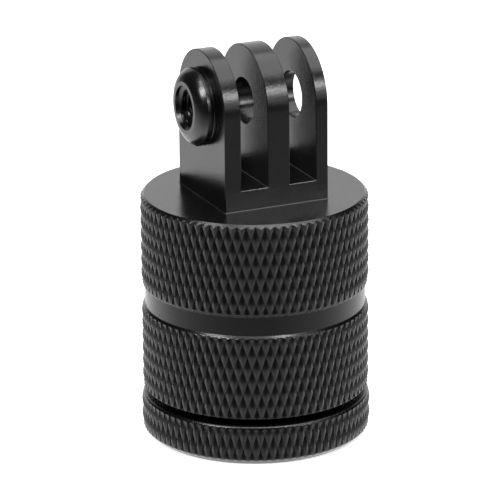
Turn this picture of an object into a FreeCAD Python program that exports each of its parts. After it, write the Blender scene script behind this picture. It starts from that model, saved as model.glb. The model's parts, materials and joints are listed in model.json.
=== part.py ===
import FreeCAD, Part
import math
import os

# Camera mount turned and milled from one bar, in millimetres.
# The bar's axis is Z and the floor is z = 0. The pivot bolt of the clevis lies along X, with
# its threaded bush on the -X side, and the front of the clevis faces -Y.

# Knurled bar, from the shoulder above the lock ring up to the face that carries the clevis
bar_d = 25.6
lower_grip_h = 9.8
band_h = 2.15
upper_grip_h = 10.7
band_inset = 0.4
band_chamfer_h = 0.5
rim_chamfer = 0.45
foot_edge_chamfer = 0.3

# Diamond knurl of the bar, rolled in one pass before the band was turned
diamond_w = 1.044
diamond_h = 3.0
knurl_depth = 0.21
knurl_row_offset = -0.13
knurl_angle = -113.8

# Lock ring, screwed down from the shoulder by the gap
ring_proud = 0.13
ring_h = 4.6
ring_gap = 0.75
ring_diamond_w = 0.967
ring_diamond_h = 3.38
ring_knurl_depth = 0.21
ring_top_chamfer_w = 0.5
ring_top_chamfer_h = 0.8
ring_foot_chamfer = 0.8
ring_bore_chamfer = 0.5

# Threaded neck below the bar, on which the ring runs, and its tripod hole
shoulder_w = 2.8
neck_recess = 0.4
neck_end_chamfer = 0.5
thread_clearance = 0.05
tripod_core_d = 5.1
tripod_depth = 12.0
tripod_mouth_chamfer = 0.6
drill_point_angle = 118.0

# Three-eared clevis, with the ears and slots named from -X to +X
clevis_left = 6.35
left_ear_t = 1.95
slot_w = 3.2
middle_ear_t = 2.65
right_ear_t = 1.45
ear_r = 6.35
pivot_h = 10.65
slot_floor_h = 2.35
pivot_bore_d = 5.2
clevis_foot_chamfer = 0.2

# Threaded bush pressed into the left ear
bush_d = 8.75
bush_seat_d = 6.4
bush_proud = 1.9
bush_flange_t = 0.35
bush_groove_w = 0.25
bush_groove_depth = 0.35
bush_face_d = 6.5
bush_nose_l = 0.65
bush_nose_bulge = 0.12
bush_core_d = 4.2
bush_mouth_chamfer = 0.4

# How far a cutting tool runs past the face that it meets
overrun = 1.0
# How far the neck and the clevis reach into the bar that carries them
root = 0.5

# Diameters that follow from the bar
ring_d = bar_d + 2 * ring_proud
neck_d = bar_d - 2 * shoulder_w

# Heights that follow from the lengths above
shoulder_z = ring_h + ring_gap
band_low_z = shoulder_z + lower_grip_h
band_high_z = band_low_z + band_h
deck_z = band_high_z + upper_grip_h
pivot_z = deck_z + pivot_h
slot_floor_z = deck_z + slot_floor_h

# Planes across the clevis, from -X to +X
left_face_x = -clevis_left
slot_one_x = left_face_x + left_ear_t
middle_ear_x = slot_one_x + slot_w
slot_two_x = middle_ear_x + middle_ear_t
right_ear_x = slot_two_x + slot_w
right_face_x = right_ear_x + right_ear_t

up = FreeCAD.Vector(0, 0, 1)
along_x = FreeCAD.Vector(1, 0, 0)


def ring_points(count, z, start, radius, other_radius=None):
    """Points round the Z axis, on one radius or on two radii in turn."""
    points = []
    for i in range(count):
        angle = start + 2 * math.pi * i / count
        r = radius if other_radius is None or i % 2 == 0 else other_radius
        points.append(FreeCAD.Vector(r * math.cos(angle), r * math.sin(angle), z))
    return points


def flat_face(*points):
    return Part.Face(Part.makePolygon(list(points) + [points[0]]))


def solid_from_rows(rows, diamonds=False):
    """Closed solid through rows of points: flat strips, or the facets of a diamond knurl."""
    count = len(rows[0])
    faces = [flat_face(*rows[0]), flat_face(*rows[-1])]
    for k in range(len(rows) - 1):
        low, high = rows[k], rows[k + 1]
        for i in range(count):
            j = (i + 1) % count
            if not diamonds:
                faces.append(flat_face(low[i], low[j], high[j], high[i]))
            elif (i + k) % 2 == 0:
                faces.append(flat_face(low[i], low[j], high[i]))
                faces.append(flat_face(low[j], high[j], high[i]))
            else:
                faces.append(flat_face(low[i], low[j], high[j]))
                faces.append(flat_face(low[i], high[j], high[i]))
    return Part.Solid(Part.Shell(faces))


def knurled_bar(crest_r, depth, starts, pitch, start, first_row_z, top_z):
    """Bar with a pyramid for each diamond. Crests and groove crossings alternate in a row, and
    the rows lie half a diamond apart."""
    rows = []
    z = first_row_z
    while not rows or rows[-1][0].z < top_z:
        radii = (crest_r, crest_r - depth) if len(rows) % 2 == 0 else (crest_r - depth, crest_r)
        rows.append(ring_points(2 * starts, z, start, *radii))
        z += pitch / 2
    return solid_from_rows(rows, diamonds=True)


def turned_flats(profile, starts, start):
    """Turned outline with one flat for each half diamond, so that every chamfer cuts the
    knurl along straight edges."""
    return solid_from_rows([ring_points(2 * starts, z, start, r) for r, z in profile])


def turned(profile):
    """Solid of revolution about the Z axis, from a list of radius and height."""
    points = [FreeCAD.Vector(r, 0, z) for r, z in profile]
    return flat_face(*points).revolve(FreeCAD.Vector(), up, 360)


def knurled_and_turned(profile, crest_r, depth, width, height, angle, row_z):
    """Knurled length turned to a profile. The knurl has as many diamonds of the given width as
    go round it, and a row of crests at the angle and the height given."""
    starts = round(2 * math.pi * crest_r / width)
    start = math.radians(angle)
    low_z = profile[0][1]
    first_row_z = row_z - height * math.ceil((row_z - low_z) / height + 1)
    blank = knurled_bar(crest_r, depth, starts, height, start, first_row_z, profile[-1][1] + height)
    return blank.common(turned_flats(profile, starts, start))


def bar():
    """Bar knurled over its whole length and then turned: the edge at the shoulder, the plain
    band between its chamfers, and the rim of the face that carries the clevis."""
    r = bar_d / 2
    band_r = r - band_inset
    rise = band_chamfer_h * (1 + overrun / band_inset)
    profile = [
        (r - foot_edge_chamfer, shoulder_z),
        (r + overrun, shoulder_z + foot_edge_chamfer + overrun),
        (r + overrun, band_low_z - rise),
        (band_r, band_low_z),
        (band_r, band_high_z),
        (r + overrun, band_high_z + rise),
        (r + overrun, deck_z - rim_chamfer - overrun),
        (r - rim_chamfer, deck_z),
    ]
    row_z = shoulder_z + knurl_row_offset
    return knurled_and_turned(profile, r, knurl_depth, diamond_w, diamond_h, knurl_angle, row_z)


def neck():
    """Neck that carries the ring, at one nominal diameter."""
    r = neck_d / 2
    return turned([
        (0, neck_recess),
        (r - neck_end_chamfer, neck_recess),
        (r, neck_recess + neck_end_chamfer),
        (r, shoulder_z + root),
        (0, shoulder_z + root),
    ])


def tripod_hole():
    """Tapping drill hole up the neck, with its pointed end and its chamfered mouth."""
    r = tripod_core_d / 2
    top_z = neck_recess + tripod_depth
    point_h = r / math.tan(math.radians(drill_point_angle / 2))
    mouth_r = r + tripod_mouth_chamfer
    return turned([
        (0, neck_recess - overrun),
        (mouth_r, neck_recess - overrun),
        (mouth_r, neck_recess),
        (r, neck_recess + tripod_mouth_chamfer),
        (r, top_z),
        (0, top_z + point_h),
    ])


def clevis_outline(x):
    """Flat face of the clevis seen along X: straight sides and a full round over the pivot."""
    low = FreeCAD.Vector(x, -ear_r, deck_z)
    left = FreeCAD.Vector(x, -ear_r, pivot_z)
    crown = FreeCAD.Vector(x, 0, pivot_z + ear_r)
    right = FreeCAD.Vector(x, ear_r, pivot_z)
    low_right = FreeCAD.Vector(x, ear_r, deck_z)
    edges = [
        Part.makeLine(low, left),
        Part.Arc(left, crown, right).toShape(),
        Part.makeLine(right, low_right),
        Part.makeLine(low_right, low),
    ]
    return Part.Face(Part.Wire(edges))


def rectangle(grow, z):
    x0, x1 = left_face_x - grow, right_face_x + grow
    y0, y1 = -ear_r - grow, ear_r + grow
    corners = [(x0, y0), (x1, y0), (x1, y1), (x0, y1)]
    return [FreeCAD.Vector(x, y, z) for x, y in corners]


def bored(radius, x0, x1):
    base = FreeCAD.Vector(x0, 0, pivot_z)
    return Part.makeCylinder(radius, x1 - x0, base, along_x)


def slot(x0):
    """One slot between two ears, open at the front, the back and the top."""
    size = (slot_w, 2 * (ear_r + overrun), pivot_h - slot_floor_h + ear_r + overrun)
    return Part.makeBox(*size, FreeCAD.Vector(x0, -ear_r - overrun, slot_floor_z))


def clevis():
    width = right_face_x - left_face_x
    block = clevis_outline(left_face_x).extrude(FreeCAD.Vector(width, 0, 0))
    foot = solid_from_rows([
        rectangle(clevis_foot_chamfer + root, deck_z - root),
        rectangle(0, deck_z + clevis_foot_chamfer),
    ])
    block = block.fuse(foot)
    cuts = [
        slot(slot_one_x),
        slot(slot_two_x),
        bored(pivot_bore_d / 2, middle_ear_x - overrun, right_face_x + overrun),
        bored(bush_seat_d / 2, left_face_x - overrun, slot_one_x + overrun),
    ]
    return block.cut(cuts)


def mount_body():
    return bar().fuse([neck(), clevis()]).cut(tripod_hole())


def lock_ring():
    r = ring_d / 2
    profile = [
        (r - ring_foot_chamfer, 0),
        (r, ring_foot_chamfer),
        (r, ring_h - ring_top_chamfer_h),
        (r - ring_top_chamfer_w, ring_h),
    ]
    grip = knurled_and_turned(profile, r, ring_knurl_depth, ring_diamond_w, ring_diamond_h, 0,
                              ring_foot_chamfer)
    bore_r = neck_d / 2 + thread_clearance
    mouth_r = bore_r + ring_bore_chamfer
    bore = turned([
        (0, -overrun),
        (mouth_r, -overrun),
        (mouth_r, 0),
        (bore_r, ring_bore_chamfer),
        (bore_r, ring_h - ring_bore_chamfer),
        (mouth_r, ring_h),
        (mouth_r, ring_h + overrun),
        (0, ring_h + overrun),
    ])
    return grip.cut(bore)


def bush_point(out, r):
    """Point of the bush's profile, by its distance out from the ear's face and its radius."""
    return FreeCAD.Vector(left_face_x - out, 0, pivot_z + r)


def threaded_bush():
    """Bush of the pivot bolt: shank in the ear, flange, groove, blunt nose and tapped hole. The
    nose has two tapers, which meet off its middle by the bulge."""
    r = bush_d / 2
    face_r = bush_face_d / 2
    core_r = bush_core_d / 2
    groove_out = bush_flange_t + bush_groove_w
    nose_out = bush_proud - bush_nose_l
    lean = math.atan2(r - face_r, bush_nose_l)
    outline = [
        (nose_out, r),
        (groove_out, r),
        (groove_out, r - bush_groove_depth),
        (bush_flange_t, r - bush_groove_depth),
        (bush_flange_t, r),
        (0, r),
        (0, bush_seat_d / 2),
        (-left_ear_t, bush_seat_d / 2),
        (-left_ear_t, core_r),
        (bush_proud - bush_mouth_chamfer, core_r),
        (bush_proud, core_r + bush_mouth_chamfer),
        (bush_proud, face_r),
        (bush_proud - bush_nose_l / 2 + bush_nose_bulge * math.sin(lean),
         (r + face_r) / 2 + bush_nose_bulge * math.cos(lean)),
    ]
    profile = flat_face(*[bush_point(out, radius) for out, radius in outline])
    return profile.revolve(FreeCAD.Vector(0, 0, pivot_z), along_x, 360)


os.makedirs("parts", exist_ok=True)
mount_body().exportStep("parts/mount_body.step")
lock_ring().exportStep("parts/lock_ring.step")
threaded_bush().exportStep("parts/threaded_bush.step")
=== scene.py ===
import json
import math

import bmesh
import bpy
from mathutils import Matrix, Vector


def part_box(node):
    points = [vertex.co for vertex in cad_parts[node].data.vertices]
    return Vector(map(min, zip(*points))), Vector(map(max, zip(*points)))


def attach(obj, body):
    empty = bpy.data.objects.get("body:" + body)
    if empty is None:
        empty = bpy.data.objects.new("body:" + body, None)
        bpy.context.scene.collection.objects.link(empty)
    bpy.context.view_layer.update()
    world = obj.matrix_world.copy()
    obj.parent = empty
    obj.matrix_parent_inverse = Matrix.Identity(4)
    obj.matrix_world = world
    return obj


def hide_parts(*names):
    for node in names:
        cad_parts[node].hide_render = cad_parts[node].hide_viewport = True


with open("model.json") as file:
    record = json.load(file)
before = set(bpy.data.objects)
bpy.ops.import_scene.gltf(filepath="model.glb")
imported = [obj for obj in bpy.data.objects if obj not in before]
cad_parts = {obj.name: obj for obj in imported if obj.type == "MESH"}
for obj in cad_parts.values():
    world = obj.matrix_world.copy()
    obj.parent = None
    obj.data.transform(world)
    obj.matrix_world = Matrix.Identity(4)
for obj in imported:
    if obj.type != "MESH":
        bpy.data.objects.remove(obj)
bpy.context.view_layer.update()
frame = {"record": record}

bl_info = {
    "name": "Camera mount",
    "version": (1, 0, 0),
    "blender": (4, 5, 0),
    "location": "3D Viewport > Sidebar > Camera mount",
    "description": "Knurled camera mount with a clevis, a threaded bush and a lock ring",
    "category": "Object",
}

# The object's axis is Z, the floor is z = 0, the pivot bolt of the clevis lies along X, and the
# front of the clevis faces -Y. Lengths are in metres here, and MM turns millimetres into them.
MM = 0.001

body_low, body_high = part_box("mount_body")
_, ring_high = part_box("lock_ring")
pivot_z = next(
    mount["pos_m"][2] for mount in frame["record"]["mounts"] if mount["name"] == "pivot_bore"
)

# Faces that meet at less than this angle are shaded as one smooth face, and so are the faces
# of a knurl's rounded ridges
SMOOTH_BELOW = math.radians(8)
SMOOTH_RIDGES = math.radians(30)
# Edges of the clevis that are sharper than this are broken
BROKEN_ABOVE = math.radians(40)
# Half the angle of the point that a drill leaves in a blind hole
DRILL_POINT = math.radians(59)
# How far one piece reaches into another that carries it
BITE = 0.5 * MM
# A point this close to the axis or to a face counts as on it
TOUCH = 0.01 * MM
# Points closer together than this become one
WELD = 0.001 * MM

# Columns of points round a turned piece and round a drilled hole
TURNED_COLUMNS = 120
DRILLED_COLUMNS = 64
# Steps over the ears, over the ring's shoulder and along the bush's nose
EAR_STEPS = 48
SHOULDER_STEPS = 10
NOSE_STEPS = 10
# Rows on the chamfers of the knurled pieces, close enough to show where the grooves run out
FOOT_ROWS = 5
BAND_ROWS = 9
RIM_ROWS = 7
RING_FOOT_ROWS = 6
# Rows to each turn of a thread, most in the bush, where the camera sees them
NECK_THREAD_ROWS = 8
RING_THREAD_ROWS = 6
BUSH_THREAD_ROWS = 12

# Width of the photograph in pixels, which the camera's shift was measured in
PHOTO_WIDTH = 500
# How strongly the surroundings shine from 0, at the horizon over the camera, to 1, far down or
# far back
ROOM_LIGHT = (
    (0.0, 0.015), (0.16, 0.025), (0.33, 0.11), (0.51, 0.225),
    (0.67, 0.34), (0.87, 0.6), (1.0, 0.65),
)
# A way straight back counts for as much as one that points down by twice this
BACK_SHARE = 0.36
# The light of the dark room on all sides
DIM = 0.03
# Each lamp's name, azimuth from the front and elevation in degrees, distance and width in
# metres, and watts. All of them point at one height on the axis
LAMPS = (
    ("front right softbox", 26, 27, 0.7, 0.14, 0.6),
    ("front right glow", 32, 20, 0.9, 0.55, 1.05),
    ("top softbox", 85, 77, 0.8, 0.8, 4.6),
    ("upper right strip", 14, 56, 0.8, 0.12, 0.8),
    ("upper left strip", -95, 60, 0.8, 0.2, 0.7),
    ("left softbox", -70, 40, 0.8, 0.26, 2.6),
)
LAMP_AIM = 25 * MM


def length(name, description, value):
    """A length property, in metres."""
    return bpy.props.FloatProperty(
        name=name, description=description, default=value, unit="LENGTH", precision=6
    )


def turn(name, description, degrees):
    """An angle property, given in degrees."""
    return bpy.props.FloatProperty(
        name=name, description=description, default=math.radians(degrees), unit="ROTATION"
    )


def number(name, description, value):
    """A property without a unit."""
    return bpy.props.FloatProperty(name=name, description=description, default=value)


def hue(name, description, value):
    """A colour property, written as an sRGB hex value."""
    return bpy.props.FloatVectorProperty(
        name=name, description=description, default=linear(value), size=3, subtype="COLOR"
    )


def linear(value):
    """Linear red, green and blue of an sRGB hex value."""
    parts = [int(value[i:i + 2], 16) / 255 for i in (1, 3, 5)]
    return [c / 12.92 if c <= 0.04045 else ((c + 0.055) / 1.055) ** 2.4 for c in parts]


class KnurlSizes(bpy.types.PropertyGroup):
    bar_diamonds: bpy.props.IntProperty(
        name="Bar diamonds", description="Diamonds round the bar", default=77
    )
    bar_diamond_height: length("Bar diamond height", "Height of a diamond on the bar", 3.0 * MM)
    bar_crest_z: length("Bar crest row", "Height of one row of crests on the bar", 5.22 * MM)
    bar_angle: turn("Bar crest angle", "Angle of one crest of that row about Z", -113.8)
    ring_diamonds: bpy.props.IntProperty(
        name="Ring diamonds", description="Diamonds round the lock ring", default=84
    )
    ring_diamond_height: length("Ring diamond height", "Height of a diamond on the ring", 3.38 * MM)
    ring_crest_z: length("Ring crest row", "Height of one row of crests on the ring", 0.15 * MM)
    ring_angle: turn("Ring crest angle", "Angle of one crest of that row about Z", -0.76)
    depth: length("Depth", "Depth of the grooves below sharp crests", 0.29 * MM)
    rounding: number("Rounding", "How far the ridges are rounded, in half diamonds", 1.2)
    ridge: number("Ridge border", "Where the rounded ridge ends, in half diamonds", 0.25)


class BarSizes(bpy.types.PropertyGroup):
    radius: length("Radius", "Radius over the crests", body_high.x)
    deck_z: length("Deck height", "Height of the face that carries the clevis", 28.0 * MM)
    deck_margin: length("Deck margin", "From the rim to the deck's outermost points", 0.48 * MM)
    shoulder_z: length("Shoulder height", "Height of the face above the ring", 5.35 * MM)
    band_low_z: length("Band foot", "Height of the plain band's lower edge", 15.15 * MM)
    band_high_z: length("Band top", "Height of the plain band's upper edge", 17.3 * MM)
    band_inset: length("Band inset", "How far the band lies below the crests", 0.4 * MM)
    band_chamfer: length("Band chamfer", "Height of the chamfers beside the band", 0.5 * MM)
    rim_chamfer: length("Rim chamfer", "Chamfer between the knurl and the deck", 0.45 * MM)
    foot_chamfer: length("Foot chamfer", "Chamfer between the knurl and the shoulder", 0.3 * MM)
    edge_break: length("Edge break", "Width of a broken edge", 0.06 * MM)


class NeckSizes(bpy.types.PropertyGroup):
    radius: length("Neck radius", "Radius over the neck's thread", 10.0 * MM)
    pitch: length("Neck pitch", "Pitch of the neck's thread", 1.0 * MM)
    thread_depth: length("Neck thread depth", "Depth of the neck's thread", 0.54 * MM)
    foot_z: length("Neck foot", "Height of the neck's lower face", body_low.z)
    end_chamfer: length("End chamfer", "Chamfer at the neck's lower end", 0.5 * MM)
    runs_on: length("Runs on", "How far the thread runs on into the bar", 0.1 * MM)
    play: length("Play", "Gap between the plain upper end and the bar round it", 0.05 * MM)
    tripod_core: length("Tripod core radius", "Core radius of the tripod thread", 2.55 * MM)
    tripod_pitch: length("Tripod pitch", "Pitch of the tripod thread", 1.27 * MM)
    tripod_thread_depth: length("Tripod thread depth", "Depth of that thread", 0.6223 * MM)
    tripod_mouth: length("Tripod mouth", "Chamfer at the mouth of the tripod hole", 0.6 * MM)
    tripod_depth: length("Tripod depth", "Depth of the tripod hole", 12.0 * MM)
    cap: length("Cap", "From the hole's full depth to the neck's upper end", 2.0 * MM)


class RingSizes(bpy.types.PropertyGroup):
    radius: length("Radius", "Radius over the crests", ring_high.x)
    height: length("Height", "Height of the lock ring", ring_high.z)
    bore: length("Bore radius", "Core radius of the ring's thread", 10.05 * MM)
    pitch: length("Pitch", "Pitch of the ring's thread", 1.0 * MM)
    thread_depth: length("Thread depth", "Depth of the ring's thread", 0.5 * MM)
    foot_chamfer: length("Foot chamfer", "Chamfer at the foot", 0.8 * MM)
    top_land: length("Top land", "Width of the rounded shoulder at the top", 0.5 * MM)
    top_round: length("Top round", "Height of the rounded shoulder", 0.9 * MM)
    bore_chamfer: length("Bore chamfer", "Chamfer at both ends of the bore", 0.5 * MM)


class ClevisSizes(bpy.types.PropertyGroup):
    left: length("Left face", "Distance of the left face from the axis", 6.35 * MM)
    left_ear: length("Left ear", "Thickness of the ear that holds the bush", 1.95 * MM)
    slot: length("Slot", "Width of each slot", 3.2 * MM)
    middle_ear: length("Middle ear", "Thickness of the middle ear", 2.65 * MM)
    right_ear: length("Right ear", "Thickness of the right ear", 1.45 * MM)
    ear_radius: length("Ear radius", "Radius of the ears over the pivot", body_high.z - pivot_z)
    slot_floor_z: length("Slot floor", "Height of the slots' floors", 30.35 * MM)
    pivot_bore: length("Pivot bore radius", "Radius of the pivot bore", 2.6 * MM)
    bush_seat: length("Bush seat radius", "Radius of the bush's seat", 3.2 * MM)
    foot_flare: length("Foot flare", "Small chamfer round the clevis's foot", 0.08 * MM)
    edge_break: length("Edge break", "Width of the broken edges", 0.08 * MM)


class BushSizes(bpy.types.PropertyGroup):
    radius: length("Radius", "Largest radius of the bush", 4.375 * MM)
    proud: length("Proud", "How far the bush stands out of the ear", 2.05 * MM)
    flange: length("Flange", "Thickness of the flange", 0.33 * MM)
    groove_w: length("Groove width", "Width of the groove", 0.22 * MM)
    groove_depth: length("Groove depth", "Depth of the groove", 0.25 * MM)
    face_radius: length("Face radius", "Radius of the flat end face", 2.95 * MM)
    nose: length("Nose", "Length of the blunt nose", 1.05 * MM)
    bulge: length("Bulge", "How far the nose stands off a straight taper", 0.2 * MM)
    core: length("Core radius", "Core radius of the bush's thread", 2.1 * MM)
    pitch: length("Pitch", "Pitch of the bush's thread", 0.8 * MM)
    thread_depth: length("Thread depth", "Depth of the bush's thread", 0.4 * MM)
    mouth: length("Mouth chamfer", "Chamfer at the mouth of the thread", 0.4 * MM)
    back_chamfer: length("Back chamfer", "Chamfer at the back of the thread", 0.15 * MM)
    edge_break: length("Edge break", "Width of a broken edge", 0.05 * MM)


class FinishColours(bpy.types.PropertyGroup):
    body: hue("Body", "Dyed oxide of the body and its clevis", "#0a0a0b")
    ring: hue("Ring", "Dyed oxide of the lock ring", "#0a0a0b")
    bush: hue("Bush", "Blackened steel of the bush", "#080808")
    rubbed: hue("Rubbed crest", "Knurl crests where handling has thinned the dye", "#1c1c1d")


class StudioSettings(bpy.types.PropertyGroup):
    lens: number("Focal length", "Of the camera, in millimetres", 270.695)
    shift_x: number("Shift across", "Of the picture, in picture widths", -4.933 / PHOTO_WIDTH)
    shift_y: number("Shift up", "Of the picture, in picture widths", 24.873 / PHOTO_WIDTH)
    distance: length("Distance", "From the camera to the point that it looks at", 423.17 * MM)
    target_z: length("Target height", "Height of the point that the camera looks at", 18.0 * MM)
    azimuth: turn("Azimuth", "Of the camera about Z, from the front", -24.345)
    elevation: turn("Elevation", "Of the camera above the floor", 19.121)
    roll: turn("Roll", "Of the camera about its view", -0.446)
    floor: hue("Floor", "Pale studio floor", "#e6e6e6")
    floor_half: length("Floor half width", "From the axis to the floor's edges", 4.0)
    floor_fill: number("Floor fill", "Light of the floor's own, for the camera", 0.7)


GROUPS = {
    "mount_knurl": KnurlSizes,
    "mount_bar": BarSizes,
    "mount_neck": NeckSizes,
    "mount_ring": RingSizes,
    "mount_clevis": ClevisSizes,
    "mount_bush": BushSizes,
    "mount_finish": FinishColours,
    "mount_studio": StudioSettings,
}


def add(tree, kind, inputs=(), **settings):
    """A node with its settings. Each input is a value, or a node or socket to link."""
    node = tree.nodes.new(kind)
    for name, value in settings.items():
        setattr(node, name, value)
    for key, value in dict(inputs).items():
        if isinstance(value, bpy.types.Node):
            value = value.outputs[0]
        if isinstance(value, bpy.types.NodeSocket):
            tree.links.new(value, node.inputs[key])
        else:
            node.inputs[key].default_value = value
    return node


def new_tree(name, inputs):
    """An empty geometry tree with named inputs, and its input node."""
    tree = bpy.data.node_groups.new(name, "GeometryNodeTree")
    tree.interface.new_socket("Geometry", in_out="INPUT", socket_type="NodeSocketGeometry")
    for label, kind in inputs.items():
        tree.interface.new_socket(label, in_out="INPUT", socket_type=kind)
    tree.interface.new_socket("Geometry", in_out="OUTPUT", socket_type="NodeSocketGeometry")
    return tree, add(tree, "NodeGroupInput")


def close_tree(tree, given, geometry):
    """Ends a geometry tree with plain meshes in their material."""
    real = add(tree, "GeometryNodeRealizeInstances", {"Geometry": geometry})
    coated = add(
        tree, "GeometryNodeSetMaterial", {"Geometry": real, "Material": given.outputs["Material"]}
    )
    add(tree, "NodeGroupOutput", {"Geometry": coated})
    return tree


def polar(tree):
    """Where a point lies about the axis: its way out from the axis, radius, angle and height."""
    place = add(tree, "ShaderNodeSeparateXYZ", {0: add(tree, "GeometryNodeInputPosition")})
    x, y, z = place.outputs
    out = add(tree, "ShaderNodeCombineXYZ", {0: x, 1: y})
    radius = add(tree, "ShaderNodeVectorMath", {0: out}, operation="LENGTH").outputs["Value"]
    angle = add(tree, "ShaderNodeMath", {0: y, 1: x}, operation="ARCTAN2")
    return out, radius, angle, z


def at_radius(tree, out, radius, z, wanted):
    """A point's place once it is moved straight in or out to the wanted radius."""
    safe = add(tree, "ShaderNodeMath", {0: radius, 1: TOUCH}, operation="MAXIMUM")
    scale = add(tree, "ShaderNodeMath", {0: wanted, 1: safe}, operation="DIVIDE")
    moved = add(tree, "ShaderNodeVectorMath", {0: out, "Scale": scale}, operation="SCALE")
    height = add(tree, "ShaderNodeCombineXYZ", {2: z})
    return add(tree, "ShaderNodeVectorMath", {0: moved, 1: height}, operation="ADD")


def flanks(tree, turns):
    """Straight flanks of a ridge: 1 at each whole number of turns, and 0 halfway between."""
    wave = add(tree, "ShaderNodeMath", {0: turns}, operation="FRACT")
    wave = add(tree, "ShaderNodeMath", {0: wave, 1: 2.0, 2: -1.0}, operation="MULTIPLY_ADD")
    return add(tree, "ShaderNodeMath", {0: wave}, operation="ABSOLUTE")


def knurl_tree():
    """Cuts a turned blank down to a diamond knurl: two families of V grooves leave a pyramid
    with rounded ridges for each diamond. Where the blank lies deeper than the knurl, it stays
    as it was turned. The pyramid's height is kept as the attribute crest."""
    tree, given = new_tree("Diamond knurl", {
        "Crest Radius": "NodeSocketFloat",
        "Depth": "NodeSocketFloat",
        "Diamonds": "NodeSocketInt",
        "Diamond Height": "NodeSocketFloat",
        "Crest Height": "NodeSocketFloat",
        "Crest Angle": "NodeSocketFloat",
        "Rounding": "NodeSocketFloat",
        "Material": "NodeSocketMaterial",
    })
    put = given.outputs
    out, radius, angle, z = polar(tree)

    # Half diamonds round the axis and half diamonds up it, both from one crest
    around = angle
    upward = z
    for operation, by_angle, by_height in (
        ("SUBTRACT", put["Crest Angle"], put["Crest Height"]),
        ("MULTIPLY", put["Diamonds"], 2.0),
        ("DIVIDE", math.pi, put["Diamond Height"]),
    ):
        around = add(tree, "ShaderNodeMath", {0: around, 1: by_angle}, operation=operation)
        upward = add(tree, "ShaderNodeMath", {0: upward, 1: by_height}, operation=operation)

    # Height over the nearer groove, from 0 in the groove to 1 on the crest
    walls = []
    for operation in ("ADD", "SUBTRACT"):
        across = add(tree, "ShaderNodeMath", {0: around, 1: upward}, operation=operation)
        across = add(tree, "ShaderNodeMath", {0: across, 1: 0.5}, operation="MULTIPLY")
        walls.append(flanks(tree, across))
    height = add(
        tree, "ShaderNodeMath", {0: walls[0], 1: walls[1], 2: put["Rounding"]},
        operation="SMOOTH_MIN",
    )

    # The smooth minimum lowers the crest by a sixth of the rounding, so that comes off again
    top = add(
        tree, "ShaderNodeMath", {0: put["Rounding"], 1: -1 / 6, 2: 1.0}, operation="MULTIPLY_ADD"
    )
    sunk = add(tree, "ShaderNodeMath", {0: top, 1: height}, operation="SUBTRACT")
    sunk = add(tree, "ShaderNodeMath", {0: sunk, 1: put["Depth"]}, operation="MULTIPLY")
    cut = add(tree, "ShaderNodeMath", {0: put["Crest Radius"], 1: sunk}, operation="SUBTRACT")
    inner = add(tree, "ShaderNodeMath", {0: radius, 1: cut}, operation="MINIMUM")
    knurled = add(tree, "ShaderNodeMath", {0: cut, 1: radius}, operation="LESS_THAN")
    crest = add(tree, "ShaderNodeMath", {0: knurled, 1: height}, operation="MULTIPLY")
    shape = add(
        tree, "GeometryNodeStoreNamedAttribute",
        {"Geometry": put["Geometry"], "Name": "crest", "Value": crest},
        data_type="FLOAT", domain="POINT",
    )
    moved = at_radius(tree, out, radius, z, inner)
    shape = add(tree, "GeometryNodeSetPosition", {"Geometry": shape, "Position": moved})
    return close_tree(tree, given, shape)


def thread_tree():
    """Cuts a right-hand screw thread into the turned face at one radius. A positive depth cuts
    towards the axis, and a negative one into the wall of a bore."""
    tree, given = new_tree("Screw thread", {
        "Radius": "NodeSocketFloat",
        "Depth": "NodeSocketFloat",
        "Pitch": "NodeSocketFloat",
        "Material": "NodeSocketMaterial",
    })
    put = given.outputs
    out, radius, angle, z = polar(tree)
    turns = add(tree, "ShaderNodeMath", {0: angle, 1: 2 * math.pi}, operation="DIVIDE")
    climb = add(tree, "ShaderNodeMath", {0: z, 1: put["Pitch"]}, operation="DIVIDE")
    across = add(tree, "ShaderNodeMath", {0: climb, 1: turns}, operation="SUBTRACT")
    # Flanks a little steeper than a sharp thread's leave narrow flats on the crests and in the
    # roots
    steepness = 1.35
    shape = add(
        tree, "ShaderNodeMath", {0: flanks(tree, across), 1: steepness, 2: (1 - steepness) / 2},
        operation="MULTIPLY_ADD", use_clamp=True,
    )
    depth = add(tree, "ShaderNodeMath", {0: shape, 1: put["Depth"]}, operation="MULTIPLY")
    cut = add(tree, "ShaderNodeMath", {0: put["Radius"], 1: depth}, operation="SUBTRACT")
    moved = at_radius(tree, out, radius, z, cut)
    on_face = add(
        tree, "ShaderNodeMath", {0: radius, 1: put["Radius"], 2: TOUCH}, operation="COMPARE"
    )
    shape = add(
        tree, "GeometryNodeSetPosition",
        {"Geometry": put["Geometry"], "Selection": on_face, "Position": moved},
    )
    return close_tree(tree, given, shape)


def worked(mesh, tree, **values):
    """The mesh after a geometry tree, as a plain mesh. Values go in by the inputs' names."""
    thing = bpy.data.objects.new(mesh.name, mesh)
    bpy.context.scene.collection.objects.link(thing)
    step = thing.modifiers.new(tree.name, "NODES")
    step.node_group = tree
    for item in tree.interface.items_tree:
        name = item.name.lower().replace(" ", "_")
        if item.in_out == "INPUT" and name in values:
            step[item.identifier] = values[name]
    graph = bpy.context.evaluated_depsgraph_get()
    made = bpy.data.meshes.new_from_object(
        thing.evaluated_get(graph), preserve_all_data_layers=True, depsgraph=graph
    )
    bpy.data.objects.remove(thing)
    return made


def as_mesh(name, shape):
    """The mesh of a shape built from closed shells, with its faces turned outwards."""
    bmesh.ops.recalc_face_normals(shape, faces=shape.faces)
    mesh = bpy.data.meshes.new(name)
    shape.to_mesh(mesh)
    shape.free()
    return mesh


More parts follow.
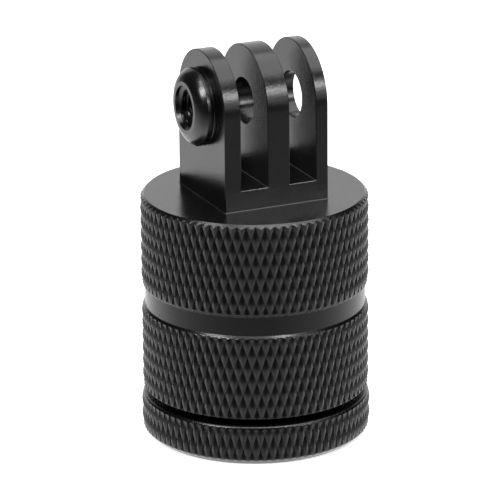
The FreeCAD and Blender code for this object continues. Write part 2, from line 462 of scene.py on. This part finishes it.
def turned_blank(name, profile, angles, closed=False, groove_leans=None):
    """Surface of revolution about Z through (radius, height) points, with a column of points at
    each angle. A closed profile goes back to its first point. groove_leans says, for a height
    and a column, which way to split a square."""
    shape = bmesh.new()
    rows = []
    for radius, z in profile:
        if radius == 0:
            rows.append([shape.verts.new((0, 0, z))])
        else:
            rows.append([
                shape.verts.new((radius * math.cos(a), radius * math.sin(a), z)) for a in angles
            ])
    heights = [z for _, z in profile]
    if closed:
        rows.append(rows[0])
        heights.append(heights[0])
    for low, high, z0, z1 in zip(rows, rows[1:], heights, heights[1:]):
        for i in range(len(angles)):
            j = (i + 1) % len(angles)
            if len(low) == 1:
                shape.faces.new((low[0], high[j], high[i]))
            elif len(high) == 1:
                shape.faces.new((low[i], low[j], high[0]))
            elif groove_leans is None:
                shape.faces.new((low[i], low[j], high[j], high[i]))
            elif groove_leans((z0 + z1) / 2, i):
                shape.faces.new((low[i], low[j], high[i]))
                shape.faces.new((low[j], high[j], high[i]))
            else:
                shape.faces.new((low[i], low[j], high[j]))
                shape.faces.new((low[i], high[j], high[i]))
    return as_mesh(name, shape)


def even_angles(count):
    """Angles of evenly spaced columns."""
    return [2 * math.pi * i / count for i in range(count)]


def ridge_marks(ridge):
    """Shares of a half diamond that have points: its ridge line and the ridge's two borders."""
    return 0, ridge, 1 - ridge


def knurl_angles(diamonds, start, ridge):
    """Angles of the columns that a knurl needs."""
    step = math.pi / diamonds
    return [start + step * (i + f) for i in range(2 * diamonds) for f in ridge_marks(ridge)]


def knurl_heights(low, high, crest_z, diamond_height, ridge):
    """Heights of the rows that a knurl needs between two heights."""
    step = diamond_height / 2
    first = math.floor((low - crest_z) / step) - 1
    last = math.ceil((high - crest_z) / step) + 1
    rows = [crest_z + step * (k + f) for k in range(first, last) for f in ridge_marks(ridge)]
    return [z for z in rows if low < z < high]


def knurl_leans(crest_z, diamond_height, ridge):
    """Squares are split along the grooves, which lean one way and the other in turn."""
    columns = len(ridge_marks(ridge))

    def leans(z, column):
        return (math.floor((z - crest_z) / (diamond_height / 2)) + column // columns) % 2 == 0

    return leans


def knurled(name, profile, material, radius, diamonds, diamond_height, crest_z, angle,
            closed=False):
    """A turned piece after knurling, with points on the lines of the pattern."""
    knurl = bpy.context.scene.mount_knurl
    blank = turned_blank(
        name, profile, knurl_angles(diamonds, angle, knurl.ridge), closed,
        knurl_leans(crest_z, diamond_height, knurl.ridge),
    )
    return worked(
        blank, knurl_tree(), crest_radius=radius, depth=knurl.depth, diamonds=diamonds,
        diamond_height=diamond_height, crest_height=crest_z, crest_angle=angle,
        rounding=knurl.rounding, material=material,
    )


def along(low, high, pieces):
    """Points between two (radius, height) points, the second one left out."""
    return [
        tuple(a + (b - a) * i / pieces for a, b in zip(low, high)) for i in range(pieces)
    ]


def with_rows(low, high, heights):
    """The first of two (radius, height) points, and points at the given heights between them."""
    (r0, z0), (r1, z1) = low, high
    return [low] + [
        (r0 + (r1 - r0) * (z - z0) / (z1 - z0), z) for z in heights if z0 < z < z1
    ]


def joined(name, meshes, weld=0.0):
    """One mesh from several. Points closer together than the weld become one."""
    shape = bmesh.new()
    for mesh in meshes:
        shape.from_mesh(mesh)
    if weld:
        bmesh.ops.remove_doubles(shape, verts=shape.verts, dist=weld)
    return as_mesh(name, shape)


def finished(name, mesh, body, material, slot, *nodes, smooth=SMOOTH_BELOW):
    """The shown piece: its mesh in place, its edges sharp or smooth, riding on its body."""
    mesh.name = name
    if not mesh.materials:
        mesh.materials.append(material)
    mesh.shade_smooth()
    mesh.set_sharp_from_angle(angle=smooth)
    piece = bpy.data.objects.new(name, mesh)
    bpy.context.scene.collection.objects.link(piece)
    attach(piece, body)
    if nodes:
        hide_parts(*nodes)
    return piece


def bare_material(name):
    """A new material with an empty tree, and that tree."""
    material = bpy.data.materials.new(name)
    material.use_nodes = True
    material.node_tree.nodes.clear()
    return material, material.node_tree


def anodised(name, colour, rubbed, roughness):
    """Black anodised aluminium, bead blasted. The dyed oxide is a hard clear layer over black:
    it gives the eye a soft mirror at grazing angles, a near black face on, and the blasting's
    dents as a fine sparkle. The crests of the knurl are rubbed a little paler."""
    material, tree = bare_material(name)
    place = add(tree, "ShaderNodeTexCoord").outputs["Object"]
    # Blasting with fine beads leaves dents of about 0.1 mm. They are drawn at 0.17 mm, coarser
    # than life, so that they still show as a sparkle where a pixel covers 0.1 mm
    dents = add(
        tree, "ShaderNodeTexNoise", {"Vector": place, "Scale": 1 / (0.17 * MM), "Detail": 3.0}
    )
    # Slow changes of the blasting over a few millimetres
    patches = add(
        tree, "ShaderNodeTexNoise", {"Vector": place, "Scale": 1 / (3.0 * MM), "Detail": 3.0}
    )
    uneven = add(
        tree, "ShaderNodeMapRange",
        {0: patches, "From Min": 0.3, "From Max": 0.7,
         "To Min": roughness - 0.03, "To Max": roughness + 0.03},
    )
    grain = add(
        tree, "ShaderNodeMapRange",
        {0: dents, "From Min": 0.25, "From Max": 0.75, "To Min": -0.05, "To Max": 0.05},
    )
    rough = add(tree, "ShaderNodeMath", {0: uneven, 1: grain}, operation="ADD")
    crest = add(tree, "ShaderNodeAttribute", attribute_name="crest").outputs["Fac"]
    worn = add(
        tree, "ShaderNodeMapRange",
        {0: crest, "From Min": 0.75, "From Max": 0.87, "To Min": 0.0, "To Max": 0.7},
    )
    paint = add(
        tree, "ShaderNodeMix",
        {"Factor": worn, 6: (*colour, 1), 7: (*rubbed, 1)}, data_type="RGBA",
    )
    bump = add(tree, "ShaderNodeBump", {"Height": dents, "Distance": 0.016 * MM})
    shader = add(
        tree, "ShaderNodeBsdfPrincipled",
        {"Base Color": paint.outputs[2], "Roughness": rough, "IOR": 1.6, "Normal": bump},
    )
    add(tree, "ShaderNodeOutputMaterial", {"Surface": shader})
    return material


def blackened(name, colour, roughness):
    """Blackened steel, fine turned. The black oxide keeps the tool's rings, which give the
    eye thin bright arcs round the nose, and its shine is a little brighter and softer than the
    blasted body's."""
    material, tree = bare_material(name)
    place = add(tree, "ShaderNodeTexCoord").outputs["Object"]
    centred = add(tree, "ShaderNodeMapping", {"Vector": place, "Location": (0, 0, -pivot_z)})
    parts = add(tree, "ShaderNodeSeparateXYZ", {0: centred})
    side = add(tree, "ShaderNodeCombineXYZ", {0: parts.outputs[1], 1: parts.outputs[2]})
    out = add(tree, "ShaderNodeVectorMath", {0: side}, operation="LENGTH").outputs["Value"]
    travel = add(tree, "ShaderNodeMath", {0: out, 1: parts.outputs[0]}, operation="SUBTRACT")
    # Turning marks every 0.06 mm, the feed of a fine cut
    rings = add(
        tree, "ShaderNodeTexNoise", {"W": travel, "Scale": 1 / (0.06 * MM), "Detail": 1.0},
        noise_dimensions="1D",
    )
    # The oxide's grain is a few hundredths of a millimetre. It is drawn at 0.2 mm, coarser than
    # life, so that it still shows
    dents = add(
        tree, "ShaderNodeTexNoise", {"Vector": place, "Scale": 1 / (0.2 * MM), "Detail": 2.0}
    )
    both = add(
        tree, "ShaderNodeMix", {"Factor": 0.6, 2: rings.outputs[0], 3: dents.outputs[0]}
    )
    rough = add(
        tree, "ShaderNodeMapRange",
        {0: dents, "From Min": 0.25, "From Max": 0.75,
         "To Min": roughness - 0.05, "To Max": roughness + 0.05},
    )
    bump = add(tree, "ShaderNodeBump", {"Height": both, "Distance": 0.012 * MM})
    shader = add(
        tree, "ShaderNodeBsdfPrincipled",
        {"Base Color": (*colour, 1), "Roughness": rough, "IOR": 1.7, "Normal": bump},
    )
    add(tree, "ShaderNodeOutputMaterial", {"Surface": shader})
    return material


def material_of(name):
    """One of the object's three finishes, made when it is first asked for."""
    ready = bpy.data.materials.get(name)
    if ready:
        return ready
    colours = bpy.context.scene.mount_finish
    if name == "blasted_anodised_aluminium":
        return anodised(name, colours.body, colours.rubbed, roughness=0.2)
    if name == "knurled_anodised_aluminium":
        return anodised(name, colours.ring, colours.rubbed, roughness=0.22)
    return blackened(name, colours.bush, roughness=0.24)


class MakeBar(bpy.types.Operator):
    """Knurled bar with its plain band, its shoulder and the deck that carries the clevis"""
    bl_idname = "camera_mount.bar"
    bl_label = "Knurled bar"

    def execute(self, context):
        bar = context.scene.mount_bar
        knurl = context.scene.mount_knurl
        neck = context.scene.mount_neck
        r = bar.radius
        e = bar.edge_break
        band_r = r - bar.band_inset
        rim_r = r - bar.rim_chamfer
        foot_r = r - bar.foot_chamfer
        hollow_r = neck.radius - BITE
        hollow_top = neck.foot_z + neck.tripod_depth + neck.cap + BITE / 2
        foot_z = bar.shoulder_z + bar.foot_chamfer
        low_chamfer_z = bar.band_low_z - bar.band_chamfer
        high_chamfer_z = bar.band_high_z + bar.band_chamfer
        rim_z = bar.deck_z - bar.rim_chamfer
        heights = knurl_heights(
            bar.shoulder_z, bar.deck_z, knurl.bar_crest_z, knurl.bar_diamond_height, knurl.ridge
        )
        profile = [
            (0, hollow_top),
            (hollow_r, hollow_top),
            (hollow_r, bar.shoulder_z),
            (foot_r - e, bar.shoulder_z),
            *along((foot_r, bar.shoulder_z + e / 2), (r, foot_z), FOOT_ROWS),
            *with_rows((r, foot_z), (r, low_chamfer_z), heights),
            *along((r, low_chamfer_z), (band_r, bar.band_low_z), BAND_ROWS),
            (band_r, bar.band_low_z),
            (band_r, bar.band_low_z + e),
            (band_r, bar.band_high_z - e),
            *along((band_r, bar.band_high_z), (r, high_chamfer_z), BAND_ROWS),
            *with_rows((r, high_chamfer_z), (r, rim_z), heights),
            *along((r, rim_z), (rim_r, bar.deck_z - e / 2), RIM_ROWS),
            (rim_r, bar.deck_z - e / 2),
            (rim_r - e / 2, bar.deck_z),
            (rim_r - bar.deck_margin, bar.deck_z),
            (0, bar.deck_z),
        ]
        material = material_of("blasted_anodised_aluminium")
        mesh = knurled(
            "bar", profile, material, r, knurl.bar_diamonds, knurl.bar_diamond_height,
            knurl.bar_crest_z, knurl.bar_angle,
        )
        finished(
            "bar", mesh, "mount", material, "black_anodised", "mount_body", smooth=SMOOTH_RIDGES
        )
        return {"FINISHED"}


class MakeNeck(bpy.types.Operator):
    """Threaded neck that carries the lock ring, with the tripod thread up its middle"""
    bl_idname = "camera_mount.neck"
    bl_label = "Threaded neck"

    def execute(self, context):
        neck = context.scene.mount_neck
        bar = context.scene.mount_bar
        r = neck.radius
        core = neck.tripod_core
        foot_r = r - neck.end_chamfer
        upper_r = r - BITE - neck.play
        thread_low = neck.foot_z + neck.end_chamfer
        thread_top = bar.shoulder_z + neck.runs_on
        mouth_top = neck.foot_z + neck.tripod_mouth
        hole_top = neck.foot_z + neck.tripod_depth
        cap_z = hole_top + neck.cap
        rows = int((thread_top - thread_low) / (neck.pitch / NECK_THREAD_ROWS))
        outside = [
            (foot_r, neck.foot_z),
            *along((r, thread_low), (r, thread_top), rows),
            (upper_r, thread_top),
            (upper_r, cap_z),
            (0, cap_z),
        ]
        rows = int((hole_top - mouth_top) / (neck.tripod_pitch / NECK_THREAD_ROWS))
        hole = [
            (foot_r, neck.foot_z),
            (core + neck.tripod_mouth, neck.foot_z),
            *along((core, mouth_top), (core, hole_top), rows),
            (core, hole_top),
            (0, hole_top + core / math.tan(DRILL_POINT)),
        ]
        angles = even_angles(TURNED_COLUMNS)
        shells = [turned_blank("neck shell", profile, angles) for profile in (outside, hole)]
        material = material_of("blasted_anodised_aluminium")
        tree = thread_tree()
        mesh = worked(
            joined("neck", shells, WELD), tree, radius=r, depth=neck.thread_depth,
            pitch=neck.pitch, material=material,
        )
        mesh = worked(
            mesh, tree, radius=core, depth=-neck.tripod_thread_depth, pitch=neck.tripod_pitch,
            material=material,
        )
        finished("neck", mesh, "mount", material, "black_anodised")
        return {"FINISHED"}


class MakeClevis(bpy.types.Operator):
    """Three-eared clevis with its pivot bore, its slots and its broken edges"""
    bl_idname = "camera_mount.clevis"
    bl_label = "Clevis"

    def execute(self, context):
        clevis = context.scene.mount_clevis
        bar = context.scene.mount_bar
        r = clevis.ear_radius
        x0 = -clevis.left
        x1 = x0 + clevis.left_ear
        x2 = x1 + clevis.slot
        x3 = x2 + clevis.middle_ear
        x4 = x3 + clevis.slot
        x5 = x4 + clevis.right_ear
        foot = bar.deck_z - BITE
        over = [math.pi * i / EAR_STEPS for i in range(EAR_STEPS + 1)]
        outline = [
            (-r, foot),
            *((-r * math.cos(a), pivot_z + r * math.sin(a)) for a in over),
            (r, foot),
        ]
        block = self.prism("clevis", outline, x0, x5)
        past = r + 2 * BITE
        top = pivot_z + past
        tools = []
        for low, high in ((x1, x2), (x3, x4)):
            corners = [(-past, clevis.slot_floor_z), (past, clevis.slot_floor_z),
                       (past, top), (-past, top)]
            tools.append(self.prism("slot", corners, low, high))
        for radius, low, high in (
            (clevis.bush_seat, x0 - BITE, x1 + BITE),
            (clevis.pivot_bore, x2 - BITE, x5 + BITE),
        ):
            circle = [
                (radius * math.cos(a), pivot_z + radius * math.sin(a))
                for a in even_angles(DRILLED_COLUMNS)
            ]
            tools.append(self.prism("drill", circle, low, high))
        for tool in tools:
            cut = block.modifiers.new("Cut", "BOOLEAN")
            cut.object = tool
            cut.operation = "DIFFERENCE"
            cut.solver = "EXACT"
        broken = block.modifiers.new("Broken edges", "BEVEL")
        broken.width = clevis.edge_break
        broken.segments = 2
        broken.limit_method = "ANGLE"
        broken.angle_limit = BROKEN_ABOVE
        graph = context.evaluated_depsgraph_get()
        ears = bpy.data.meshes.new_from_object(block.evaluated_get(graph), depsgraph=graph)
        for thing in [block, *tools]:
            bpy.data.objects.remove(thing)
        mesh = joined("clevis", [ears, self.flare(clevis, bar, x0, x5)])
        material = material_of("blasted_anodised_aluminium")
        finished("clevis", mesh, "mount", material, "black_anodised")
        return {"FINISHED"}

    def prism(self, name, outline, low, high):
        """Solid with a flat outline across Y and Z, between two planes across X."""
        shape = bmesh.new()
        near = [shape.verts.new((low, y, z)) for y, z in outline]
        far = [shape.verts.new((high, y, z)) for y, z in outline]
        shape.faces.new(near)
        shape.faces.new(far)
        for i in range(len(outline)):
            j = (i + 1) % len(outline)
            shape.faces.new((near[i], near[j], far[j], far[i]))
        thing = bpy.data.objects.new(name, as_mesh(name, shape))
        bpy.context.scene.collection.objects.link(thing)
        return thing

    def flare(self, clevis, bar, low, high):
        """Small chamfer where the clevis stands on the deck."""
        shape = bmesh.new()
        rows = []
        for grow, z in (
            (clevis.foot_flare, bar.deck_z - BITE),
            (clevis.foot_flare, bar.deck_z),
            (0, bar.deck_z + clevis.foot_flare),
        ):
            half = clevis.ear_radius + grow
            corners = ((low - grow, -half), (high + grow, -half),
                       (high + grow, half), (low - grow, half))
            rows.append([shape.verts.new((x, y, z)) for x, y in corners])
        shape.faces.new(rows[0])
        shape.faces.new(rows[-1])
        for a, b in zip(rows, rows[1:]):
            for i in range(len(a)):
                j = (i + 1) % len(a)
                shape.faces.new((a[i], a[j], b[j], b[i]))
        return as_mesh("flare", shape)


class MakeRing(bpy.types.Operator):
    """Knurled lock ring with its rounded shoulder and its threaded bore"""
    bl_idname = "camera_mount.lock_ring"
    bl_label = "Lock ring"

    def execute(self, context):
        ring = context.scene.mount_ring
        knurl = context.scene.mount_knurl
        r = ring.radius
        top = ring.height
        round_z = top - ring.top_round
        mouth_r = ring.bore + ring.bore_chamfer
        bore_low = ring.bore_chamfer
        bore_top = top - ring.bore_chamfer
        heights = knurl_heights(
            0, top, knurl.ring_crest_z, knurl.ring_diamond_height, knurl.ridge
        )
        quarter = [math.pi / 2 * i / SHOULDER_STEPS for i in range(SHOULDER_STEPS + 1)]
        rows = int((bore_top - bore_low) / (ring.pitch / RING_THREAD_ROWS))
        profile = [
            *along((r - ring.foot_chamfer, 0), (r, ring.foot_chamfer), RING_FOOT_ROWS),
            *with_rows((r, ring.foot_chamfer), (r, round_z), heights),
            *(
                (r - ring.top_land * (1 - math.cos(a)), round_z + ring.top_round * math.sin(a))
                for a in quarter
            ),
            (mouth_r, top),
            *along((ring.bore, bore_top), (ring.bore, bore_low), rows),
            (ring.bore, bore_low),
            (mouth_r, 0),
        ]
        material = material_of("knurled_anodised_aluminium")
        mesh = knurled(
            "lock ring", profile, material, r, knurl.ring_diamonds, knurl.ring_diamond_height,
            knurl.ring_crest_z, knurl.ring_angle, closed=True,
        )
        mesh = worked(
            mesh, thread_tree(), radius=ring.bore, depth=-ring.thread_depth, pitch=ring.pitch,
            material=material,
        )
        finished(
            "knurled_ring", mesh, "ring", material, "black_anodised_ring", "lock_ring",
            smooth=SMOOTH_RIDGES,
        )
        return {"FINISHED"}


class MakeBush(bpy.types.Operator):
    """Turned bush in the left ear, with its flange, groove, blunt nose and thread"""
    bl_idname = "camera_mount.bush"
    bl_label = "Threaded bush"

    def execute(self, context):
        bush = context.scene.mount_bush
        clevis = context.scene.mount_clevis
        r = bush.radius
        e = bush.edge_break
        groove_out = bush.flange + bush.groove_w
        groove_r = r - bush.groove_depth
        nose_out = bush.proud - bush.nose
        tilt = math.atan2(r - bush.face_radius, bush.nose)
        nose = []
        for i in range(NOSE_STEPS + 1):
            t = i / NOSE_STEPS
            swell = bush.bulge * math.sin(math.pi * t)
            nose.append((
                r + (bush.face_radius - r) * t + swell * math.cos(tilt),
                nose_out + bush.nose * t + swell * math.sin(tilt),
            ))
        back = -clevis.left_ear
        core_low = back + bush.back_chamfer
        core_high = bush.proud - bush.mouth
        rows = int((core_high - core_low) / (bush.pitch / BUSH_THREAD_ROWS))
        profile = [
            (clevis.bush_seat, back),
            (clevis.bush_seat, 0),
            (r - e, 0),
            (r, e),
            (r, bush.flange - e),
            (r - e, bush.flange),
            (groove_r, bush.flange),
            (groove_r, groove_out),
            (r - e, groove_out),
            (r, groove_out + e),
            *nose,
            (bush.core + bush.mouth, bush.proud),
            *along((bush.core, core_high), (bush.core, core_low), rows),
            (bush.core, core_low),
            (bush.core + bush.back_chamfer, back),
        ]
        blank = turned_blank("bush", profile, even_angles(TURNED_COLUMNS), closed=True)
        material = material_of("blackened_turned_steel")
        mesh = worked(
            blank, thread_tree(), radius=bush.core, depth=-bush.thread_depth, pitch=bush.pitch,
            material=material,
        )
        face = Vector((-clevis.left, 0, pivot_z))
        mesh.transform(Matrix.Translation(face) @ Matrix.Rotation(-math.pi / 2, 4, "Y"))
        finished("bush", mesh, "mount", material, "black_bush", "threaded_bush")
        return {"FINISHED"}


def direction(azimuth, elevation):
    """The way from the object to a camera or a lamp, with its azimuth counted from the front."""
    return Vector((
        math.sin(azimuth) * math.cos(elevation),
        -math.cos(azimuth) * math.cos(elevation),
        math.sin(elevation),
    ))


class MakeStudio(bpy.types.Operator):
    """Pale floor, soft lights, white surroundings and the camera"""
    bl_idname = "camera_mount.studio"
    bl_label = "Studio"

    def execute(self, context):
        studio = context.scene.mount_studio
        self.floor(context, studio)
        self.world(context, studio)
        self.lamps(context)
        self.camera(context, studio)
        context.scene.view_settings.view_transform = "Standard"
        return {"FINISHED"}

    def surroundings(self, tree, studio):
        """What a mirror sees in each direction: a dark room that turns white further down and
        further back, as on a lit table, with a white backdrop straight behind the object."""
        way = add(tree, "ShaderNodeTexCoord").outputs["Generated"]
        rise = add(tree, "ShaderNodeSeparateXYZ", {0: way}).outputs["Z"]
        level = add(tree, "ShaderNodeVectorMath", {0: way, 1: (1, 1, 0)}, operation="MULTIPLY")
        level = add(tree, "ShaderNodeVectorMath", {0: level}, operation="NORMALIZE")
        facing = add(
            tree, "ShaderNodeVectorMath", {0: level, 1: direction(studio.azimuth, 0)},
            operation="DOT_PRODUCT",
        ).outputs["Value"]
        # 0 at the horizon on the camera's side, more further down and further back
        away = add(
            tree, "ShaderNodeMath", {0: facing, 1: -BACK_SHARE, 2: BACK_SHARE},
            operation="MULTIPLY_ADD",
        )
        away = add(tree, "ShaderNodeMath", {0: away, 1: rise}, operation="SUBTRACT")
        table = add(tree, "ShaderNodeFloatCurve", {"Value": away})
        curve = table.mapping.curves[0]
        nearest, *between, furthest = ROOM_LIGHT
        curve.points[0].location = nearest
        curve.points[1].location = furthest
        for place, bright in between:
            curve.points.new(place, bright)
        table.mapping.update()
        # Where each part of the surroundings fades in or out, and from and to which strength:
        # the table towards the horizon, the pale ceiling upwards and on the camera's side, and
        # the backdrop off to the sides and upwards
        fades = []
        for source, start, end, first, last in (
            (rise, -0.3, -0.02, 2.0, 0.0),
            (rise, 0.6, 0.85, 0.0, 1.2),
            (facing, 0.2, 0.75, 0.0, 1.0),
            (facing, -0.95, -0.7, 1.1, 0.0),
            (rise, 0.65, 0.9, 1.0, 0.0),
        ):
            fades.append(add(
                tree, "ShaderNodeMapRange",
                {0: source, "From Min": start, "From Max": end, "To Min": first, "To Max": last},
                interpolation_type="SMOOTHSTEP",
            ))
        below, high, over, behind, low = fades
        ceiling = add(
            tree, "ShaderNodeMath", {0: high, 1: over, 2: DIM}, operation="MULTIPLY_ADD"
        )
        room = add(
            tree, "ShaderNodeMath", {0: table, 1: below, 2: ceiling}, operation="MULTIPLY_ADD"
        )
        backdrop = add(tree, "ShaderNodeMath", {0: behind, 1: low}, operation="MULTIPLY")
        return add(tree, "ShaderNodeMath", {0: room, 1: backdrop}, operation="MAXIMUM")

    def floor(self, context, studio):
        mesh = bpy.data.meshes.new("floor")
        half = studio.floor_half
        mesh.from_pydata(
            [(-half, -half, 0), (half, -half, 0), (half, half, 0), (-half, half, 0)], [],
            [(0, 1, 2, 3)],
        )
        material, tree = bare_material("pale_floor")
        # To the camera the floor is a pale matt one with the object's shadow, filled up to
        # white by a little light of its own. Mirrors look through it to the surroundings.
        matt = add(tree, "ShaderNodeBsdfDiffuse", {"Color": (*studio.floor, 1)})
        fill = add(
            tree, "ShaderNodeEmission", {"Color": (1, 1, 1, 1), "Strength": studio.floor_fill}
        )
        pale = add(tree, "ShaderNodeAddShader", {0: matt, 1: fill})
        clear = add(tree, "ShaderNodeBsdfTransparent")
        path = add(tree, "ShaderNodeLightPath")
        lit = add(
            tree, "ShaderNodeMixShader", {0: path.outputs["Is Camera Ray"], 1: clear, 2: pale}
        )
        add(tree, "ShaderNodeOutputMaterial", {"Surface": lit})
        mesh.materials.append(material)
        floor = bpy.data.objects.new("floor", mesh)
        context.scene.collection.objects.link(floor)

    def world(self, context, studio):
        world = bpy.data.worlds.new("studio")
        world.use_nodes = True
        tree = world.node_tree
        tree.nodes.clear()
        around = self.surroundings(tree, studio)
        # The camera sees plain white
        path = add(tree, "ShaderNodeLightPath")
        strength = add(
            tree, "ShaderNodeMix",
            {"Factor": path.outputs["Is Camera Ray"], 2: around.outputs[0], 3: 1.0},
        )
        light = add(tree, "ShaderNodeBackground", {"Color": (1, 1, 1, 1), "Strength": strength})
        add(tree, "ShaderNodeOutputWorld", {"Surface": light})
        context.scene.world = world

    def lamps(self, context):
        for name, azimuth, elevation, distance, size, watts in LAMPS:
            back = direction(math.radians(azimuth), math.radians(elevation))
            lamp = bpy.data.lights.new(name, "AREA")
            lamp.shape = "SQUARE"
            lamp.size = size
            lamp.energy = watts
            thing = bpy.data.objects.new(name, lamp)
            context.scene.collection.objects.link(thing)
            thing.location = Vector((0, 0, LAMP_AIM)) + back * distance
            thing.rotation_euler = back.to_track_quat("Z", "Y").to_euler()

    def camera(self, context, studio):
        back = direction(studio.azimuth, studio.elevation)
        right = Vector((0, 0, 1)).cross(back).normalized()
        up = back.cross(right)
        tilt = Matrix.Rotation(studio.roll, 4, back)
        lens = bpy.data.cameras.new("camera")
        lens.lens = studio.lens
        lens.sensor_width = 36
        lens.clip_start = 0.01
        lens.clip_end = 20
        # The photograph's optical axis lies a little right of and below its middle
        lens.shift_x = studio.shift_x
        lens.shift_y = studio.shift_y
        camera = bpy.data.objects.new("camera", lens)
        context.scene.collection.objects.link(camera)
        turned = Matrix((tilt @ right, tilt @ up, back)).transposed().to_4x4()
        target = Vector((0, 0, studio.target_z))
        camera.matrix_world = Matrix.Translation(target + back * studio.distance) @ turned
        context.scene.camera = camera


class MountPanel(bpy.types.Panel):
    """Lists the pieces of the camera mount"""
    bl_idname = "VIEW3D_PT_camera_mount"
    bl_label = "Camera mount"
    bl_space_type = "VIEW_3D"
    bl_region_type = "UI"
    bl_category = "Camera mount"

    def draw(self, context):
        for group in GROUPS:
            box = self.layout.box()
            values = getattr(context.scene, group)
            for name in values.__annotations__:
                box.prop(values, name)
        for operator in OPERATORS:
            self.layout.operator(operator.bl_idname)


OPERATORS = (MakeBar, MakeNeck, MakeClevis, MakeRing, MakeBush, MakeStudio)


def register():
    for group in GROUPS.values():
        bpy.utils.register_class(group)
    for name, group in GROUPS.items():
        setattr(bpy.types.Scene, name, bpy.props.PointerProperty(type=group))
    for operator in OPERATORS:
        bpy.utils.register_class(operator)
    bpy.utils.register_class(MountPanel)


def unregister():
    bpy.utils.unregister_class(MountPanel)
    for operator in reversed(OPERATORS):
        bpy.utils.unregister_class(operator)
    for name, group in reversed(GROUPS.items()):
        delattr(bpy.types.Scene, name)
        bpy.utils.unregister_class(group)


def main():
    register()
    bpy.ops.camera_mount.bar()
    bpy.ops.camera_mount.neck()
    bpy.ops.camera_mount.clevis()
    bpy.ops.camera_mount.lock_ring()
    bpy.ops.camera_mount.bush()
    bpy.ops.camera_mount.studio()


if __name__ == "__main__":
    main()
